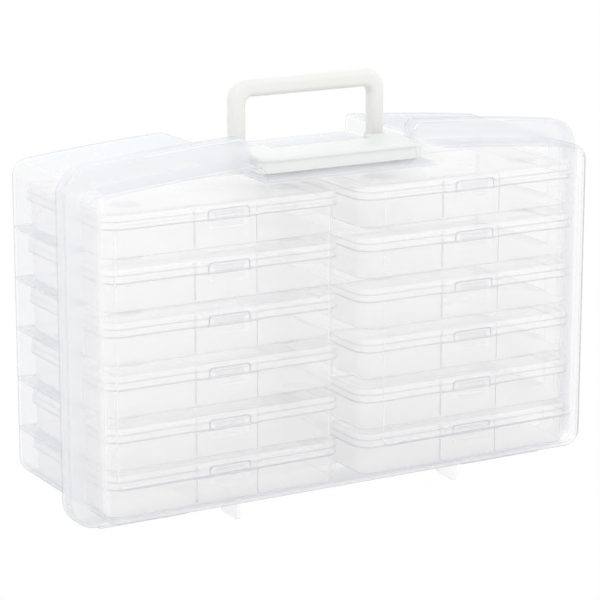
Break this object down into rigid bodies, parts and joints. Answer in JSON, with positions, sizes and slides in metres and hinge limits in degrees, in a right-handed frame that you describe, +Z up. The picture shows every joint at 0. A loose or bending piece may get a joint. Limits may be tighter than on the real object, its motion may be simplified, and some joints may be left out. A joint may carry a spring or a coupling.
{
  "type": "photo keeper case",
  "caption": "Clear carrying case with a hinged front, a top handle and latch, holding two stacks of lidded clear photo boxes.",
  "frame": {"origin": "centre of the bounding box across and front to back, at the lowest point of the feet", "axes": "+Z up, -Y out of the hinged front, +X to the right seen from the front"},
  "size_m": [0.3688, 0.13, 0.2652],
  "materials": {
    "case_clear": "clear, faintly hazy",
    "tray_clear": "clear, faintly hazy",
    "lid_clear": "clear, faintly hazy",
    "white_plastic": "satin white"
  },
  "bodies": {
    "back_shell": {"back_shell": "case_clear"},
    "front_shell": {"front_shell": "case_clear"},
    "handle": {"handle": "white_plastic"},
    "latch": {"latch": "white_plastic"},
    "case_left_1": {"tray_left_1": "tray_clear", "lid_left_1": "lid_clear"},
    "case_left_2": {"tray_left_2": "tray_clear", "lid_left_2": "lid_clear"},
    "case_left_3": {"tray_left_3": "tray_clear", "lid_left_3": "lid_clear"},
    "case_left_4": {"tray_left_4": "tray_clear", "lid_left_4": "lid_clear"},
    "case_left_5": {"tray_left_5": "tray_clear", "lid_left_5": "lid_clear"},
    "case_left_6": {"tray_left_6": "tray_clear", "lid_left_6": "lid_clear"},
    "case_right_1": {"tray_right_1": "tray_clear", "lid_right_1": "lid_clear"},
    "case_right_2": {"tray_right_2": "tray_clear", "lid_right_2": "lid_clear"},
    "case_right_3": {"tray_right_3": "tray_clear", "lid_right_3": "lid_clear"},
    "case_right_4": {"tray_right_4": "tray_clear", "lid_right_4": "lid_clear"},
    "case_right_5": {"tray_right_5": "tray_clear", "lid_right_5": "lid_clear"},
    "case_right_6": {"tray_right_6": "tray_clear", "lid_right_6": "lid_clear"}
  },
  "joints": [
    {"name": "front_hinge", "type": "hinge", "parent": "back_shell", "child": "front_shell", "pos_m": [0, -0.029, 0.0028], "axis": [1, 0, 0], "range_deg": [0, 175]},
    {"name": "latch_pivot", "type": "hinge", "parent": "back_shell", "child": "latch", "pos_m": [0, -0.015, 0.2175], "axis": [-1, 0, 0], "range_deg": [0, 85]},
    {"name": "handle_pivot", "type": "hinge", "parent": "back_shell", "child": "handle", "pos_m": [0, -0.0013, 0.2194], "axis": [-1, 0, 0], "range_deg": [0, 90]},
    {"name": "slide_left_1", "type": "slide", "parent": "back_shell", "child": "case_left_1", "axis": [0, -1, 0], "range_m": [0, 0.0875]},
    {"name": "slide_left_2", "type": "slide", "parent": "back_shell", "child": "case_left_2", "axis": [0, -1, 0], "range_m": [0, 0.0875]},
    {"name": "slide_left_3", "type": "slide", "parent": "back_shell", "child": "case_left_3", "axis": [0, -1, 0], "range_m": [0, 0.0875]},
    {"name": "slide_left_4", "type": "slide", "parent": "back_shell", "child": "case_left_4", "axis": [0, -1, 0], "range_m": [0, 0.0875]},
    {"name": "slide_left_5", "type": "slide", "parent": "back_shell", "child": "case_left_5", "axis": [0, -1, 0], "range_m": [0, 0.0875]},
    {"name": "slide_left_6", "type": "slide", "parent": "back_shell", "child": "case_left_6", "axis": [0, -1, 0], "range_m": [0, 0.0875]},
    {"name": "slide_right_1", "type": "slide", "parent": "back_shell", "child": "case_right_1", "axis": [0, -1, 0], "range_m": [0, 0.0875]},
    {"name": "slide_right_2", "type": "slide", "parent": "back_shell", "child": "case_right_2", "axis": [0, -1, 0], "range_m": [0, 0.0875]},
    {"name": "slide_right_3", "type": "slide", "parent": "back_shell", "child": "case_right_3", "axis": [0, -1, 0], "range_m": [0, 0.0875]},
    {"name": "slide_right_4", "type": "slide", "parent": "back_shell", "child": "case_right_4", "axis": [0, -1, 0], "range_m": [0, 0.0875]},
    {"name": "slide_right_5", "type": "slide", "parent": "back_shell", "child": "case_right_5", "axis": [0, -1, 0], "range_m": [0, 0.0875]},
    {"name": "slide_right_6", "type": "slide", "parent": "back_shell", "child": "case_right_6", "axis": [0, -1, 0], "range_m": [0, 0.0875]}
  ],
  "couplings": [
    {"joint": "slide_left_1", "follows": "front_hinge", "m_per_rad": 0.028648},
    {"joint": "slide_left_2", "follows": "front_hinge", "m_per_rad": 0.028648},
    {"joint": "slide_left_3", "follows": "front_hinge", "m_per_rad": 0.028648},
    {"joint": "slide_left_4", "follows": "front_hinge", "m_per_rad": 0.028648},
    {"joint": "slide_left_5", "follows": "front_hinge", "m_per_rad": 0.028648},
    {"joint": "slide_left_6", "follows": "front_hinge", "m_per_rad": 0.028648},
    {"joint": "slide_right_1", "follows": "front_hinge", "m_per_rad": 0.028648},
    {"joint": "slide_right_2", "follows": "front_hinge", "m_per_rad": 0.028648},
    {"joint": "slide_right_3", "follows": "front_hinge", "m_per_rad": 0.028648},
    {"joint": "slide_right_4", "follows": "front_hinge", "m_per_rad": 0.028648},
    {"joint": "slide_right_5", "follows": "front_hinge", "m_per_rad": 0.028648},
    {"joint": "slide_right_6", "follows": "front_hinge", "m_per_rad": 0.028648}
  ]
}
